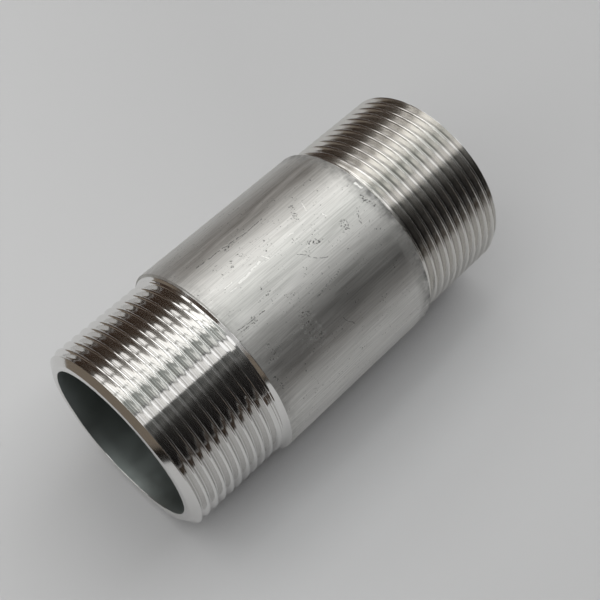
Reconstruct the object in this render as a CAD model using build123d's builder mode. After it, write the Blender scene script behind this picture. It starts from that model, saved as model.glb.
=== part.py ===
from build123d import *
from math import atan, ceil, cos, degrees, radians, tan
import os

# Double nipple: a length of round aluminium tube with a parallel pipe thread cut on each end.
# Millimetres. It stands on one end, with its axis along Z and its origin in the middle of the lower face.

# Tube stock
tube_diameter = 50.0
wall_thickness = 5.0
overall_length = 100.0

# Threaded ends
threaded_length = 27.2       # end face to barrel
shoulder_height = 1.1        # how far the tube is turned down for the thread
shoulder_length = 0.8        # slope between the turned neck and the barrel
neck_length = 0.1            # plain neck between the last of the groove and the slope
end_land = 1.6               # flat ring around the bore on each end face
end_chamfer_length = 1.3     # lead-in chamfer, along the axis

# Thread: a 55 degree form with a sixth of its sharp height rounded off at crest and root. The solid
# has its pitch and depth, with straight flanks from root to crest in place of the small roundings.
threads_per_inch = 11
thread_angle = 55.0
rounded_off = 1 / 6
runout_turns = 0.6           # the groove climbs out of the tube over this much of a turn
lower_runout_angle = -110.9  # where that climb starts, seen from outside each end
upper_runout_angle = 26.6

# The groove is cut in lengths of under a turn, which reach a little past the crest and the end face
cut_turns = 5 / 6
cut_clearance = 0.25
lead_in = 1.2

thread_pitch = 25.4 / threads_per_inch
sharp_height = thread_pitch / (2 * tan(radians(thread_angle / 2)))
thread_depth = sharp_height * (1 - 2 * rounded_off)

tube_radius = tube_diameter / 2
bore_radius = tube_radius - wall_thickness
crest_radius = tube_radius - shoulder_height
root_radius = crest_radius - thread_depth
cut_radius = crest_radius + cut_clearance

neck_end = threaded_length - shoulder_length
runout_length = runout_turns * thread_pitch
full_thread_length = neck_end - neck_length - runout_length
cut_length = cut_turns * thread_pitch
cuts = ceil((full_thread_length + lead_in) / cut_length)

cut_depth = thread_depth + cut_clearance
cut_half_width = thread_pitch / 2 * cut_depth / thread_depth
runout_slope = degrees(atan(cut_depth / runout_length))

os.makedirs("parts", exist_ok=True)

# Section of the groove, with X pointing away from the tube's axis. At the crest it is one pitch wide,
# so that neighbouring turns meet in a crest line.
with BuildSketch() as groove_section:
    with BuildLine():
        Polyline(
            (0, 0),
            (cut_depth, -cut_half_width),
            (cut_depth, cut_half_width),
            close=True,
        )
    make_face()

# One length of the groove at full depth
with BuildPart() as groove_length:
    with BuildLine() as full_path:
        Helix(pitch=thread_pitch, height=cut_length, radius=root_radius)
    full_helix = full_path.line
    section_plane = Plane(origin=full_helix @ 0, x_dir=(1, 0, 0), z_dir=full_helix % 0)
    with BuildSketch(section_plane):
        add(groove_section.sketch)
    sweep(path=full_helix, is_frenet=True)

# The last part turn, which climbs out of the tube
with BuildPart() as groove_runout:
    with BuildLine() as runout_path:
        Helix(
            pitch=thread_pitch / cos(radians(runout_slope)),
            height=runout_length,
            radius=root_radius,
            cone_angle=runout_slope,
        )
    with BuildSketch(section_plane):
        add(groove_section.sketch)
    sweep(path=runout_path.line, is_frenet=True)
    Cylinder(radius=cut_radius, height=4 * thread_pitch, mode=Mode.INTERSECT)

with BuildPart() as nipple:
    # Turned blank: bore, end faces, chamfers, turned ends and the barrel left at the tube's own size
    with BuildSketch(Plane.XZ):
        with BuildLine():
            Polyline(
                (bore_radius, 0),
                (bore_radius + end_land, 0),
                (crest_radius, end_chamfer_length),
                (crest_radius, neck_end),
                (tube_radius, threaded_length),
                (tube_radius, overall_length - threaded_length),
                (crest_radius, overall_length - neck_end),
                (crest_radius, overall_length - end_chamfer_length),
                (bore_radius + end_land, overall_length),
                (bore_radius, overall_length),
                close=True,
            )
        make_face()
    revolve(axis=Axis.Z)

    # Both threads are right-handed, so the upper one is the lower one turned over, not mirrored
    lower_end = Location((0, 0, 0), (0, 0, lower_runout_angle))
    upper_end = Location((0, 0, overall_length), (180, 0, upper_runout_angle))
    for end in (lower_end, upper_end):
        runout_start = end * Location((0, 0, full_thread_length))
        with Locations(runout_start):
            add(groove_runout.part, mode=Mode.SUBTRACT)
        for cut in range(1, cuts + 1):
            back_turn = Location((0, 0, -cut * cut_length), (0, 0, -cut * cut_turns * 360))
            with Locations(runout_start * back_turn):
                add(groove_length.part, mode=Mode.SUBTRACT)

nipple.part.label = "nipple"
export_step(nipple.part, "parts/nipple.step")
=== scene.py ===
import bmesh
import bpy
from math import atan2, cos, floor, hypot, pi, radians, sin, sqrt, tan
from mathutils import Matrix, Vector


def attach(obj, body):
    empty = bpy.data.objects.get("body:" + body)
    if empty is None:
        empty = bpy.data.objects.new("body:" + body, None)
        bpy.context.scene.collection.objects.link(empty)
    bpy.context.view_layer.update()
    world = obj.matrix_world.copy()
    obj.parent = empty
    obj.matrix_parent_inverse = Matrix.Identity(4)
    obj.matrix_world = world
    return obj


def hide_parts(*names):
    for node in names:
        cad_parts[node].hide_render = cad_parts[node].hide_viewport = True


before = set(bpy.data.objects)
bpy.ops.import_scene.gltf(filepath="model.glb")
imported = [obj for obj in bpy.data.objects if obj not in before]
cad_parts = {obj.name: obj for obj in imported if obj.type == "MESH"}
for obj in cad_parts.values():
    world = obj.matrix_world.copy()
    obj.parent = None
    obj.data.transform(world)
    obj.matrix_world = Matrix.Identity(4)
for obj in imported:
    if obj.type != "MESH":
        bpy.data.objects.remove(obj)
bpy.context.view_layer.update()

mm = 0.001
scene = bpy.context.scene


# sRGB hex to linear
def hexColour(code):
    parts = [int(code[i:i + 2], 16) / 255 for i in (1, 3, 5)]
    return [c / 12.92 if c <= 0.04045 else ((c + 0.055) / 1.055) ** 2.4 for c in parts] + [1.0]


# One node with its settings; an input is given a value or the socket that feeds it
def addNode(tree, kind, settings=None, inputs=None):
    node = tree.nodes.new(kind)
    for name, value in (settings or {}).items():
        setattr(node, name, value)
    for socket, value in (inputs or {}).items():
        if isinstance(value, bpy.types.NodeSocket):
            tree.links.new(value, node.inputs[socket])
        else:
            node.inputs[socket].default_value = value
    return node


# 0 to 1 as a value goes from one level to another
def rampBetween(tree, value, low, high):
    return addNode(tree, "ShaderNodeMapRange", inputs={0: value, "From Min": low, "From Max": high}).outputs[0]


def noiseAt(tree, place, size, detail=2):
    return addNode(tree, "ShaderNodeTexNoise", inputs={
        "Vector": place, "Scale": 1 / (size * mm), "Detail": detail}).outputs[0]


def mathOf(tree, operation, first, second):
    return addNode(tree, "ShaderNodeMath", {"operation": operation}, {0: first, 1: second}).outputs[0]


def newMaterial(name):
    material = bpy.data.materials.new(name)
    material.use_nodes = True
    material.node_tree.nodes.clear()
    return material


# Millimetres and degrees
nippleShape = {
    "tubeRadius": 25.0,
    "boreRadius": 20.0,
    "length": 100.0,
    "threadedLength": 27.2,
    "crestRadius": 23.9,
    "shoulderLength": 0.8,
    "endLand": 1.6,
    "chamferLength": 1.3,
    "pitch": 25.4 / 11,
    "threadAngle": 55.0,
    "roundedOff": 1 / 6,
    "fullThread": 24.9145,       # end face to where the groove starts to climb out
    "runoutTurns": 0.6,
    "lowerRunout": -110.9,       # where that climb starts, degrees
    "upperRunout": 26.6,
    "edgeRound": 0.12,           # broken edges
    "ringGap": 0.105,            # rings of vertices along the threads
    "stepsRound": 144,
}


# Height of the thread form above its root, at a distance along the axis from the root line
def threadHeight(distance, shape):
    slope = radians(shape["threadAngle"] / 2)
    sharp = shape["pitch"] / (2 * tan(slope))
    rounding = shape["roundedOff"] * sharp / (1 / sin(slope) - 1)
    depth = sharp * (1 - 2 * shape["roundedOff"])
    reach = rounding * cos(slope)
    half = shape["pitch"] / 2
    if distance < reach:
        return rounding - sqrt(rounding ** 2 - distance ** 2)
    if distance < half - reach:
        return rounding * (1 - sin(slope)) + (distance - reach) / tan(slope)
    if distance < half:
        return depth - rounding + sqrt(rounding ** 2 - (half - distance) ** 2)
    return depth + (distance - half) / tan(slope)


# Radius that the thread leaves at an angle and a height above its own end face
def threadRadius(angle, height, shape):
    depth = threadHeight(shape["pitch"] / 2, shape)
    root = shape["crestRadius"] - depth
    turn = (angle / (2 * pi)) % 1.0
    along = (height - shape["fullThread"]) / shape["pitch"] - turn
    radius = 1000.0
    for line in (floor(along), floor(along) + 1):
        climbed = min(max((turn + line) / shape["runoutTurns"], 0), 1)
        lift = climbed * (depth + 0.3)
        away = abs(along - line) * shape["pitch"]
        radius = min(radius, root + lift + threadHeight(away, shape))
    return radius


def buildNipple(shape):
    end, top = shape["threadedLength"], shape["length"]
    neck = end - shape["shoulderLength"]
    land = shape["boreRadius"] + shape["endLand"]
    half = [
        (shape["boreRadius"], 0), (land, 0), (shape["crestRadius"], shape["chamferLength"]),
        (shape["crestRadius"], neck), (shape["tubeRadius"], end),
    ]
    corners = half + [(r, top - z) for r, z in reversed(half)]
    bm = bmesh.new()
    points = [bm.verts.new((r * mm, 0, z * mm)) for r, z in corners]
    bm.faces.new(points)
    bmesh.ops.bevel(bm, geom=points, affect="VERTICES", offset=shape["edgeRound"] * mm,
                    offset_type="OFFSET", segments=3, profile=0.5, material=-1)
    bmesh.ops.delete(bm, geom=bm.faces[:], context="FACES_ONLY")
    # long edges are divided: the threads finely, the rest enough to hold the shading near its edges
    for edge in [e for e in bm.edges if e.calc_length() > 0.5 * mm]:
        low, high = sorted(v.co.z / mm for v in edge.verts)
        outer = min(v.co.x / mm for v in edge.verts) > land
        threaded = outer and (high < end or low > top - end)
        cuts = int(edge.calc_length() / mm / (shape["ringGap"] if threaded else 0.6))
        bmesh.ops.subdivide_edges(bm, edges=[edge], cuts=min(cuts, 400) if threaded else min(cuts, 30))
    bmesh.ops.spin(bm, geom=bm.verts[:] + bm.edges[:], cent=(0, 0, 0), axis=(0, 0, 1), dvec=(0, 0, 0),
                   angle=2 * pi, steps=shape["stepsRound"], use_merge=True)
    bmesh.ops.remove_doubles(bm, verts=bm.verts, dist=0.001 * mm)

    # the threads: each vertex of the turned ends goes in to where the groove leaves it
    for vert in bm.verts:
        height = vert.co.z / mm
        radius = hypot(vert.co.x, vert.co.y) / mm
        if radius < land or end <= height <= top - end:
            continue
        angle = atan2(vert.co.y, vert.co.x)
        if height < end:
            cut = threadRadius(angle - radians(shape["lowerRunout"]), height, shape)
        else:
            cut = threadRadius(-angle - radians(shape["upperRunout"]), top - height, shape)
        if cut < radius:
            vert.co.x *= cut / radius
            vert.co.y *= cut / radius
    bmesh.ops.recalc_face_normals(bm, faces=bm.faces)

    # 0 upper turned end, 1 barrel, 2 bore, 3 end faces and chamfers, 4 lower turned end
    for face in bm.faces:
        middle = face.calc_center_median()
        radius = hypot(middle.x, middle.y) / mm
        height = middle.z / mm
        face.smooth = True
        if radius < shape["boreRadius"] + 0.02 and shape["edgeRound"] < height < top - shape["edgeRound"]:
            face.material_index = 2
        elif end < height < top - end:
            face.material_index = 1
        elif min(height, top - height) < shape["chamferLength"]:
            face.material_index = 3
        elif height < top / 2:
            face.material_index = 4
    mesh = bpy.data.meshes.new("nipple")
    bm.to_mesh(mesh)
    bm.free()
    piece = bpy.data.objects.new("aluminiumNipple", mesh)
    scene.collection.objects.link(piece)
    return piece


# Aluminium turned in a lathe: bright as a mirror, with fine tool lines that run round and smear what it
# mirrors along the nipple, and with painted shade in the roots of its thread
turnedFinish = {
    "name": "turnedAluminium",
    "colour": "#E3E2E0",
    "roughness": 0.10,
    "smear": 0.8,        # anisotropy
    "lineGap": 0.14,     # mm; real tool lines are nearer 0.05, too fine to show
    "lineDepth": 0.20,
    # the colour of the painted shade in the roots of the thread
    "dirtAndShade": "#4A4642",
    "rootShadeShare": 0.25,   # how much of the painted shade's colour the roots of the thread take
    "rootShadeReach": (22.42, 22.70),     # mm from the axis, from the darkest painted shade to none
}
# The lower end has been handled: hazier, so that its highlights are softer, and with more painted shade in its
# roots
hazyFinish = {
    "name": "hazyTurnedAluminium",
    "colour": "#DAD8D4",
    "roughness": 0.18,
    "smear": 0.45,
    "lineGap": 0.14,
    "lineDepth": 0.20,
    "dirtAndShade": "#4A4642",
    "rootShadeShare": 0.6,
    "rootShadeReach": (22.42, 22.80),
}
# The end faces and their chamfers, cut last and finer, mirror more clearly
facedFinish = {
    "name": "facedAluminium",
    "colour": "#DDDCDA",
    "roughness": 0.12,
    "smear": 0.3,
    "lineGap": 0.12,
    "lineDepth": 0.05,
    "dirtAndShade": "#4A4642",
    "rootShadeShare": 0.0,
    "rootShadeReach": (22.42, 22.70),
}


def turnedAluminium(finish):
    material = newMaterial(finish["name"])
    tree = material.node_tree
    place = addNode(tree, "ShaderNodeTexCoord").outputs["Object"]
    ringed = addNode(tree, "ShaderNodeMapping", inputs={0: place, "Scale": (0.04, 0.04, 1)}).outputs[0]
    lines = addNode(tree, "ShaderNodeTexNoise", inputs={
        "Vector": ringed, "Scale": 1 / (finish["lineGap"] * mm), "Detail": 2}).outputs[0]
    cloud = addNode(tree, "ShaderNodeTexNoise", inputs={
        "Vector": place, "Scale": 1 / (4 * mm), "Detail": 4}).outputs[0]
    bump = addNode(tree, "ShaderNodeBump", inputs={
        "Height": lines, "Strength": finish["lineDepth"], "Distance": 0.02 * mm}).outputs[0]
    rough = addNode(tree, "ShaderNodeMapRange", inputs={
        0: cloud, "From Min": 0.3, "From Max": 0.7,
        "To Min": finish["roughness"] * 0.75, "To Max": finish["roughness"] * 1.35}).outputs[0]
    flat = addNode(tree, "ShaderNodeVectorMath", {"operation": "MULTIPLY"}, {0: place, 1: (1, 1, 0)}).outputs[0]
    radius = addNode(tree, "ShaderNodeVectorMath", {"operation": "LENGTH"}, {0: flat}).outputs["Value"]
    # painted shade: the colour darkens towards the root of the thread, where the turns shade each other
    darkest, unshaded = finish["rootShadeReach"]
    groove = rampBetween(tree, radius, unshaded * mm, darkest * mm)
    colour = addNode(tree, "ShaderNodeMix", {"data_type": "RGBA"}, {
        0: mathOf(tree, "MULTIPLY", groove, finish["rootShadeShare"]), 6: hexColour(finish["colour"]),
        7: hexColour(finish["dirtAndShade"])}).outputs[2]
    tangent = addNode(tree, "ShaderNodeTangent", {"direction_type": "RADIAL", "axis": "Z"}).outputs[0]
    shader = addNode(tree, "ShaderNodeBsdfPrincipled", inputs={
        "Base Color": colour, "Metallic": 1.0, "Roughness": rough, "Normal": bump,
        "Anisotropic": finish["smear"], "Anisotropic Rotation": 0.25, "Tangent": tangent}).outputs[0]
    addNode(tree, "ShaderNodeOutputMaterial", inputs={"Surface": shader})
    return material


# Drawn aluminium tube as it comes from the die: satin, with fine lines along its length that smear what it
# mirrors round the tube, and with the scratches, pits and dirt of a tube that has lain about
drawnFinish = {
    "paleLine": "#E0DFDC",
    "darkLine": "#C3C2BF",
    "roughness": 0.40,
    "sideways": 0.2,     # anisotropy
    "haze": 0.05,        # share that scatters as from a matt surface
    "lineWidth": 0.30,   # mm, as the next six
    "lineLength": 9.0,
    "bandWidth": 1.4,
    "bandLength": 14.0,
    "pitSize": 0.45,
    "dirtyEnd": 3.8,
    "dirtAndShade": "#1C1A18",
    "bare": "#F4F3F0",
}
# Where the marks are: (degrees round, mm up) from point to point, with half their width in mm
darkScratches = [
    {"half": 0.18, "points": [(-46.8, 67.0), (-47.3, 63.7), (-48.3, 58.8), (-49.8, 53.7), (-49.4, 48.7)]},
    {"half": 0.10, "points": [(-77.3, 50.6), (-79.6, 49.5), (-85.6, 47.8), (-88.3, 45.6)]},
    {"half": 0.11, "points": [(-116.4, 51.2), (-120.8, 50.2), (-123.2, 49.2)]},
    {"half": 0.11, "points": [(-86.7, 71.7), (-87.9, 64.4)]},
    {"half": 0.10, "points": [(-88.0, 71.3), (-89.0, 67.0)]},
]
pitGroups = [
    {"half": 0.6, "points": [(-50.5, 59.9), (-48.9, 57.5)]},
    {"half": 0.5, "points": [(-57.8, 61.4), (-61.2, 62.3)]},
    {"half": 0.7, "points": [(-55.5, 42.4), (-63.7, 44.2)]},
    {"half": 0.6, "points": [(-76.7, 46.7), (-79.6, 44.9)]},
    {"half": 1.2, "points": [(-81.3, 37.5), (-85.5, 37.8)]},
    {"half": 0.6, "points": [(-75.8, 29.9), (-84.6, 29.1)]},
    {"half": 0.4, "points": [(-81.3, 33.1), (-87.0, 34.5)]},
    {"half": 2.2, "points": [(-102.7, 58.1), (-109.5, 58.6), (-114.4, 58.3)]},
    {"half": 0.7, "points": [(-101.6, 68.9), (-108.2, 68.6), (-107.4, 70.4)]},
    {"half": 0.6, "points": [(-115.6, 71.5), (-122.7, 71.1)]},
    {"half": 0.4, "points": [(-82.7, 60.7), (-82.5, 63.9)]},
    {"half": 0.4, "points": [(-97.3, 45.6), (-99.7, 53.3)]},
]
brightScratches = [
    {"half": 0.30, "points": [(-69.7, 63.9), (-68.1, 57.4)]},
    {"half": 0.12, "points": [(-67.1, 67.1), (-66.5, 64.9)]},
    {"half": 0.12, "points": [(-70.2, 66.7), (-70.5, 65.2)]},
    {"half": 0.11, "points": [(-66.8, 56.2), (-70.0, 55.5)]},
    {"half": 0.12, "points": [(-58.0, 40.0), (-63.5, 41.0)]},
    {"half": 0.12, "points": [(-67.2, 48.5), (-68.1, 47.1)]},
    {"half": 0.12, "points": [(-70.0, 39.3), (-72.2, 39.0)]},
    {"half": 0.35, "points": [(-68.8, 28.3), (-73.3, 28.1)]},
]


# Distance from the nearest stroke, as a share of that stroke's half width
def strokeField(tree, spread, strokes, radius):
    nearest = None
    for stroke in strokes:
        points = [Vector((radians(angle) * radius, height, 0)) for angle, height in stroke["points"]]
        for start, end in zip(points, points[1:]):
            run = end - start
            local = addNode(tree, "ShaderNodeVectorMath", {"operation": "SUBTRACT"}, {0: spread, 1: start})
            share = addNode(tree, "ShaderNodeVectorMath", {"operation": "DOT_PRODUCT"}, {
                0: local.outputs[0], 1: run / run.length_squared}).outputs["Value"]
            held = addNode(tree, "ShaderNodeClamp", inputs={"Value": share}).outputs[0]
            foot = addNode(tree, "ShaderNodeVectorMath", {"operation": "SCALE"}, {0: run, "Scale": held})
            away = addNode(tree, "ShaderNodeVectorMath", {"operation": "DISTANCE"}, {
                0: local.outputs[0], 1: foot.outputs[0]}).outputs["Value"]
            away = addNode(tree, "ShaderNodeMath", {"operation": "DIVIDE"}, {0: away, 1: stroke["half"]}).outputs[0]
            if nearest is not None:
                away = addNode(tree, "ShaderNodeMath", {"operation": "MINIMUM"}, {0: away, 1: nearest}).outputs[0]
            nearest = away
    return nearest


def drawnAluminium(finish, shape):
    material = newMaterial("drawnAluminium")
    tree = material.node_tree
    place = addNode(tree, "ShaderNodeTexCoord").outputs["Object"]
    drawn = []
    for kind in ("line", "band"):
        stretch = finish[kind + "Width"] / finish[kind + "Length"]
        along = addNode(tree, "ShaderNodeMapping", inputs={0: place, "Scale": (1, 1, stretch)}).outputs[0]
        drawn.append(noiseAt(tree, along, finish[kind + "Width"], 3))
    lines, bands = drawn
    both = mathOf(tree, "ADD", lines, mathOf(tree, "MULTIPLY", bands, 0.3))
    tone = rampBetween(tree, both, 0.45, 0.85)
    base = addNode(tree, "ShaderNodeMix", {"data_type": "RGBA"}, {
        0: tone, 6: hexColour(finish["darkLine"]), 7: hexColour(finish["paleLine"])}).outputs[2]

    # the barrel rolled out flat, mm, a little uneven so that no mark is quite straight
    parts = addNode(tree, "ShaderNodeSeparateXYZ", inputs={0: place}).outputs
    angle = mathOf(tree, "ARCTAN2", parts[1], parts[0])
    round = mathOf(tree, "MULTIPLY", angle, shape["tubeRadius"])
    height = mathOf(tree, "DIVIDE", parts[2], mm)
    wobble = addNode(tree, "ShaderNodeTexNoise", inputs={"Vector": place, "Scale": 1 / (1.5 * mm), "Detail": 3})
    wobble = addNode(tree, "ShaderNodeVectorMath", {"operation": "MULTIPLY_ADD"}, {
        0: wobble.outputs["Color"], 1: (0.9, 0.9, 0), 2: (-0.45, -0.45, 0)}).outputs[0]
    flat = addNode(tree, "ShaderNodeCombineXYZ", inputs={0: round, 1: height}).outputs[0]
    spread = addNode(tree, "ShaderNodeVectorMath", {"operation": "ADD"}, {0: flat, 1: wobble}).outputs[0]

    fine = noiseAt(tree, place, finish["pitSize"], 4)
    coarse = noiseAt(tree, place, 3.5)
    dashes = rampBetween(tree, noiseAt(tree, place, 0.6), 0.38, 0.52)
    dark = rampBetween(tree, strokeField(tree, spread, darkScratches, shape["tubeRadius"]), 1.0, 0.3)
    dark = mathOf(tree, "MULTIPLY", dark, dashes)
    spots = rampBetween(tree, fine, 0.51, 0.62)
    pits = rampBetween(tree, strokeField(tree, spread, pitGroups, shape["tubeRadius"]), 1.0, 0.5)
    pits = mathOf(tree, "MULTIPLY", pits, spots)
    stray = mathOf(tree, "MULTIPLY", rampBetween(tree, fine, 0.63, 0.70), rampBetween(tree, coarse, 0.45, 0.60))
    top = shape["length"]
    middle = top / 2
    toEnd = mathOf(tree, "ABSOLUTE", mathOf(tree, "SUBTRACT", height, middle), 0.0)
    edge = middle - shape["threadedLength"]
    grime = rampBetween(tree, toEnd, edge - finish["dirtyEnd"], edge)
    grime = mathOf(tree, "MULTIPLY", grime, rampBetween(tree, noiseAt(tree, place, 1.6, 5), 0.25, 0.65))
    grime = mathOf(tree, "MULTIPLY", grime, rampBetween(tree, height, top, top * 0.2))
    dirtAndShade = mathOf(tree, "MAXIMUM", mathOf(tree, "MAXIMUM", dark, pits), mathOf(tree, "MAXIMUM", stray, grime))
    bright = rampBetween(tree, strokeField(tree, spread, brightScratches, shape["tubeRadius"]), 1.0, 0.5)
    bright = mathOf(tree, "MULTIPLY", bright, rampBetween(tree, fine, 0.36, 0.46))

    dirty = addNode(tree, "ShaderNodeMix", {"data_type": "RGBA"}, {
        0: mathOf(tree, "MULTIPLY", dirtAndShade, 0.92), 6: base, 7: hexColour(finish["dirtAndShade"])}).outputs[2]
    colour = addNode(tree, "ShaderNodeMix", {"data_type": "RGBA"}, {
        0: bright, 6: dirty, 7: hexColour(finish["bare"])}).outputs[2]
    metal = mathOf(tree, "SUBTRACT", 1.0 - finish["haze"], mathOf(tree, "MULTIPLY", mathOf(tree, "MAXIMUM", dirtAndShade, bright), 0.8))
    relief = mathOf(tree, "SUBTRACT", both, mathOf(tree, "MULTIPLY", dirtAndShade, 0.8))
    bump = addNode(tree, "ShaderNodeBump", inputs={
        "Height": relief, "Strength": 0.35, "Distance": 0.03 * mm}).outputs[0]
    rough = addNode(tree, "ShaderNodeMapRange", inputs={
        0: bands, "From Min": 0.3, "From Max": 0.7,
        "To Min": finish["roughness"] * 0.88, "To Max": finish["roughness"] * 1.12}).outputs[0]
    tangent = addNode(tree, "ShaderNodeTangent", {"direction_type": "RADIAL", "axis": "Z"}).outputs[0]
    shader = addNode(tree, "ShaderNodeBsdfPrincipled", inputs={
        "Base Color": colour, "Metallic": metal, "Roughness": rough, "Normal": bump,
        "Anisotropic": finish["sideways"], "Tangent": tangent}).outputs[0]
    addNode(tree, "ShaderNodeOutputMaterial", inputs={"Surface": shader})
    return material


# The bore of the same tube, dull and a little green-grey, and painted darker than the outside: painted shade inside
# the tube
boreFinish = {"colour": "#8D9391", "roughness": 0.5}


def boreAluminium(finish):
    material = newMaterial("boreAluminium")
    tree = material.node_tree
    place = addNode(tree, "ShaderNodeTexCoord").outputs["Object"]
    rough = addNode(tree, "ShaderNodeMapRange", inputs={
        0: noiseAt(tree, place, 3.0, 4), "From Min": 0.3, "From Max": 0.7,
        "To Min": finish["roughness"] * 0.85, "To Max": finish["roughness"] * 1.15}).outputs[0]
    # the dark colour is partly painted shade inside the tube
    shader = addNode(tree, "ShaderNodeBsdfPrincipled", inputs={
        "Base Color": hexColour(finish["colour"]), "Metallic": 1.0, "Roughness": rough}).outputs[0]
    addNode(tree, "ShaderNodeOutputMaterial", inputs={"Surface": shader})
    return material


nipple = buildNipple(nippleShape)
finishes = [
    turnedAluminium(turnedFinish), drawnAluminium(drawnFinish, nippleShape), boreAluminium(boreFinish),
    turnedAluminium(facedFinish), turnedAluminium(hazyFinish),
]
for finish in finishes:
    nipple.data.materials.append(finish)
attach(nipple, "root")
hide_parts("nipple")
print("nipple:", len(nipple.data.polygons), "faces")


# The table, the lamps and the camera. The model stands on its end, and the photograph shows the nipple on its
# side. So the camera is turned with it, and the table is the plane that the barrel touches on that side.
stageSetup = {
    "up": 27.0,          # degrees round the barrel from the camera's side to the table's upright
    "cameraPlace": (0, -0.240875, 0.1460225),
    "cameraTurn": (-58.0799, 43.8361, -156.0668),
    "lens": 67.388,
    "background": "#C4C4C4",
    "wallRadius": 1.6,   # m, as the next two
    "wallLength": 14.0,
    "lampDistance": 1.5,
}
# What covers the table, by corners: m across the nipple's axis and m up it. The camera sees only the paper. The
# bench beyond its edges, outside the picture, is what the open end and the sides mirror.
tableSheets = [
    # the seen paper is painted lighter towards the nipple's near end: painted light
    {"name": "paperTable", "corners": [(-0.35, -1.5), (0.17, -1.5), (0.17, 0.2195), (-0.35, 0.0375)],
     "colour": "#C0C0C1", "paintedLighter": "#CECECF", "seen": True},
    {"name": "paperShade", "corners": [(-0.02, 0.153), (0.17, 0.2195), (0.17, 0.2515), (-0.02, 0.185)],
     "colour": "#1E1B19"},
    {"name": "benchNear", "corners": [(-0.35, 0.0375), (-0.02, 0.153), (-0.02, 1.5), (-0.35, 1.5)],
     "colour": "#7A7065"},
    {"name": "benchFront", "corners": [(-0.02, 0.185), (0.17, 0.2515), (0.17, 1.5), (-0.02, 1.5)],
     "colour": "#7A7065"},
    {"name": "benchLeft", "corners": [(-1.5, -1.5), (-0.35, -1.5), (-0.35, 1.5), (-1.5, 1.5)], "colour": "#4A4039"},
    {"name": "benchRight", "corners": [(0.17, -1.5), (1.5, -1.5), (1.5, 1.5), (0.17, 1.5)], "colour": "#4A4039"},
]
# Lamps over the table: degrees round the nipple from upright, degrees along it, and how bright each looks.
# The metal doesn't mirror the last, which only lifts the shadows.
lamps = [
    {"name": "lampLeftOuter", "round": (-34.0, -17.0), "along": (-33.0, 78.0), "strength": 1.45},
    {"name": "lampLeftInner", "round": (-15.0, -9.0), "along": (-33.0, 78.0), "strength": 1.3},
    {"name": "lampLeftNear", "round": (-34.0, -9.0), "along": (-78.0, -52.0), "strength": 1.3},
    {"name": "lampLow", "round": (-50.0, -37.5), "along": (-30.0, 25.0), "strength": 1.2},
    {"name": "lampTopNear", "round": (-9.0, -4.0), "along": (-50.0, 10.0), "strength": 1.2},
    {"name": "lampTopFar", "round": (0.0, 12.5), "along": (25.0, 75.0), "strength": 0.7},
    {"name": "lampRight", "round": (16.0, 29.6), "along": (-75.0, 78.0), "strength": 1.0},
    {"name": "softFill", "round": (-35.0, 50.0), "along": (-60.0, 60.0), "strength": 0.76, "mirrored": False},
]
# What the room gives between and beside them: degrees from upright
wallTones = [
    (-90, "#44372F"), (-76, "#3E332B"), (-60, "#4E443C"), (-50, "#75716C"), (-41, "#A29F9A"), (-35, "#96938E"),
    (-12, "#ADB0AC"), (0, "#B0B5B2"), (12, "#B3B6B2"), (15, "#8C8C8E"), (30, "#6E6F6E"), (36, "#5F605F"),
    (41, "#6C6C6B"), (46, "#4A4A49"), (52, "#2E2D2C"), (80, "#201E1E"), (90, "#262423"),
]


def tableAxes(setup):
    turn = radians(setup["up"] - 90)
    up = Vector((cos(turn), sin(turn), 0))
    along = Vector((0, 0, -1))
    return along.cross(up), along, up


def addStage(name, bm, material):
    mesh = bpy.data.meshes.new(name)
    bm.to_mesh(mesh)
    bm.free()
    mesh.materials.append(material)
    item = bpy.data.objects.new(name, mesh)
    scene.collection.objects.link(item)
    return item


# Matt, and clear from below, so that a view from under the table still shows the nipple
def tableMaterial(sheet, axes):
    material = newMaterial(sheet["name"])
    tree = material.node_tree
    place = addNode(tree, "ShaderNodeTexCoord").outputs["Object"]
    # painted light: the paper's colour grows lighter towards the nipple's near end and to one side
    nearness = addNode(tree, "ShaderNodeVectorMath", {"operation": "DOT_PRODUCT"}, {
        0: place, 1: -axes[1] - axes[0] * 0.5}).outputs["Value"]
    colour = addNode(tree, "ShaderNodeMix", {"data_type": "RGBA"}, {
        0: rampBetween(tree, nearness, 0.03, 0.17), 6: hexColour(sheet["colour"]),
        7: hexColour(sheet.get("paintedLighter", sheet["colour"]))}).outputs[2]
    paper = addNode(tree, "ShaderNodeBsdfDiffuse", inputs={"Color": colour}).outputs[0]
    clear = addNode(tree, "ShaderNodeBsdfTransparent").outputs[0]
    back = addNode(tree, "ShaderNodeNewGeometry").outputs["Backfacing"]
    shader = addNode(tree, "ShaderNodeMixShader", inputs={0: back, 1: paper, 2: clear}).outputs[0]
    addNode(tree, "ShaderNodeOutputMaterial", inputs={"Surface": shader})
    return material


def buildSheet(sheet, axes, radius):
    bm = bmesh.new()
    points = [bm.verts.new(axes[0] * x - axes[1] * y - axes[2] * radius) for x, y in sheet["corners"]]
    face = bm.faces.new(points)
    face.normal_update()
    if face.normal.dot(axes[2]) < 0:
        face.normal_flip()
    item = addStage(sheet["name"], bm, tableMaterial(sheet, axes))
    item.visible_camera = sheet.get("seen", False)


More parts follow.
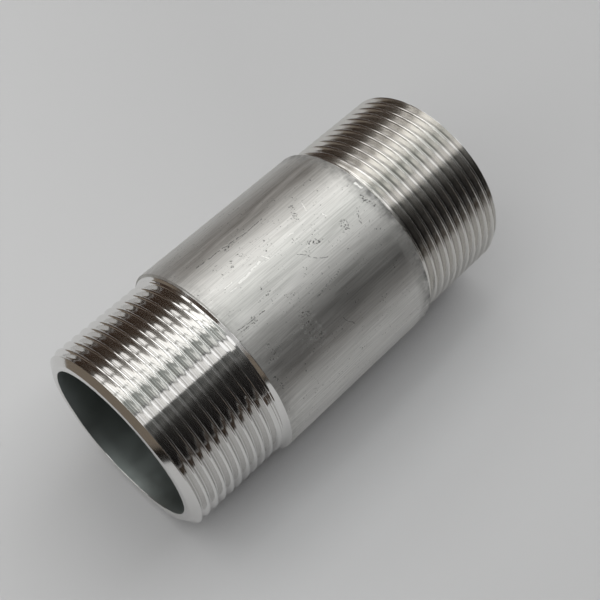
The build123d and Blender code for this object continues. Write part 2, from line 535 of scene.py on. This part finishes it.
# A dim arched wall over the table, which the camera doesn't see: it is what the metal mirrors beside the lamps
def buildWall(setup, tones, axes):
    bm = bmesh.new()
    foot = bm.verts.new(-axes[0] * setup["wallRadius"] - axes[1] * setup["wallLength"] / 2)
    head = bm.verts.new(-axes[0] * setup["wallRadius"] + axes[1] * setup["wallLength"] / 2)
    side = bm.edges.new((foot, head))
    bmesh.ops.spin(bm, geom=[foot, head, side], cent=(0, 0, 0), axis=axes[1], dvec=(0, 0, 0), angle=pi, steps=48)
    if sum(v.co.dot(axes[2]) for v in bm.verts) < 0:
        bmesh.ops.rotate(bm, verts=bm.verts, cent=(0, 0, 0), matrix=Matrix.Rotation(pi, 3, axes[1]))
    material = newMaterial("dimRoomWall")
    tree = material.node_tree
    spot = addNode(tree, "ShaderNodeTexCoord").outputs["Object"]
    reach = [addNode(tree, "ShaderNodeVectorMath", {"operation": "DOT_PRODUCT"}, {
        0: spot, 1: axes[i]}).outputs["Value"] for i in (0, 2)]
    angle = mathOf(tree, "ARCTAN2", reach[0], reach[1])
    share = rampBetween(tree, angle, -pi / 2, pi / 2)
    ramp = addNode(tree, "ShaderNodeValToRGB", inputs={0: share})
    stops = ramp.color_ramp.elements
    stops.remove(stops[-1])
    for i, (turn, code) in enumerate(tones):
        stop = stops[0] if i == 0 else stops.new((turn + 90) / 180)
        stop.position = (turn + 90) / 180
        stop.color = hexColour(code)
    glow = addNode(tree, "ShaderNodeEmission", inputs={"Color": ramp.outputs[0]}).outputs[0]
    addNode(tree, "ShaderNodeOutputMaterial", inputs={"Surface": glow})
    wall = addStage("roomWall", bm, material)
    wall.visible_camera = False


def addLamp(setup, lamp, axes):
    low, high = [radians(turn) for turn in lamp["round"]]
    near, far = [setup["lampDistance"] * tan(radians(turn)) for turn in lamp["along"]]
    towards = axes[2] * cos((low + high) / 2) + axes[0] * sin((low + high) / 2)
    light = bpy.data.lights.new(lamp["name"], "AREA")
    light.shape = "RECTANGLE"
    light.size = 2 * setup["lampDistance"] * tan((high - low) / 2)
    light.size_y = far - near
    light.energy = lamp["strength"] * light.size * light.size_y * pi
    item = bpy.data.objects.new(lamp["name"], light)
    middle = Vector((0, 0, 0.05)) + towards * setup["lampDistance"] + axes[1] * (near + far) / 2
    item.matrix_world = Matrix.Translation(middle) @ \
        Matrix((axes[1].cross(towards), axes[1], towards)).transposed().to_4x4()
    item.visible_glossy = lamp.get("mirrored", True)
    scene.collection.objects.link(item)


axes = tableAxes(stageSetup)
for sheet in tableSheets:
    buildSheet(sheet, axes, nippleShape["tubeRadius"] * mm)
buildWall(stageSetup, wallTones, axes)
for lamp in lamps:
    addLamp(stageSetup, lamp, axes)

world = bpy.data.worlds.new("paleRoom")
world.use_nodes = True
world.node_tree.nodes.clear()
glow = addNode(world.node_tree, "ShaderNodeBackground", inputs={
    "Color": hexColour(stageSetup["background"])}).outputs[0]
addNode(world.node_tree, "ShaderNodeOutputWorld", inputs={"Surface": glow})
scene.world = world
scene.view_settings.view_transform = "Standard"

cameraData = bpy.data.cameras.new("camera")
cameraData.lens = stageSetup["lens"]
cameraData.sensor_width = 36.0
camera = bpy.data.objects.new("camera", cameraData)
camera.location = stageSetup["cameraPlace"]
camera.rotation_euler = [radians(turn) for turn in stageSetup["cameraTurn"]]
scene.collection.objects.link(camera)
scene.camera = camera
print("stage, lamps and camera set")
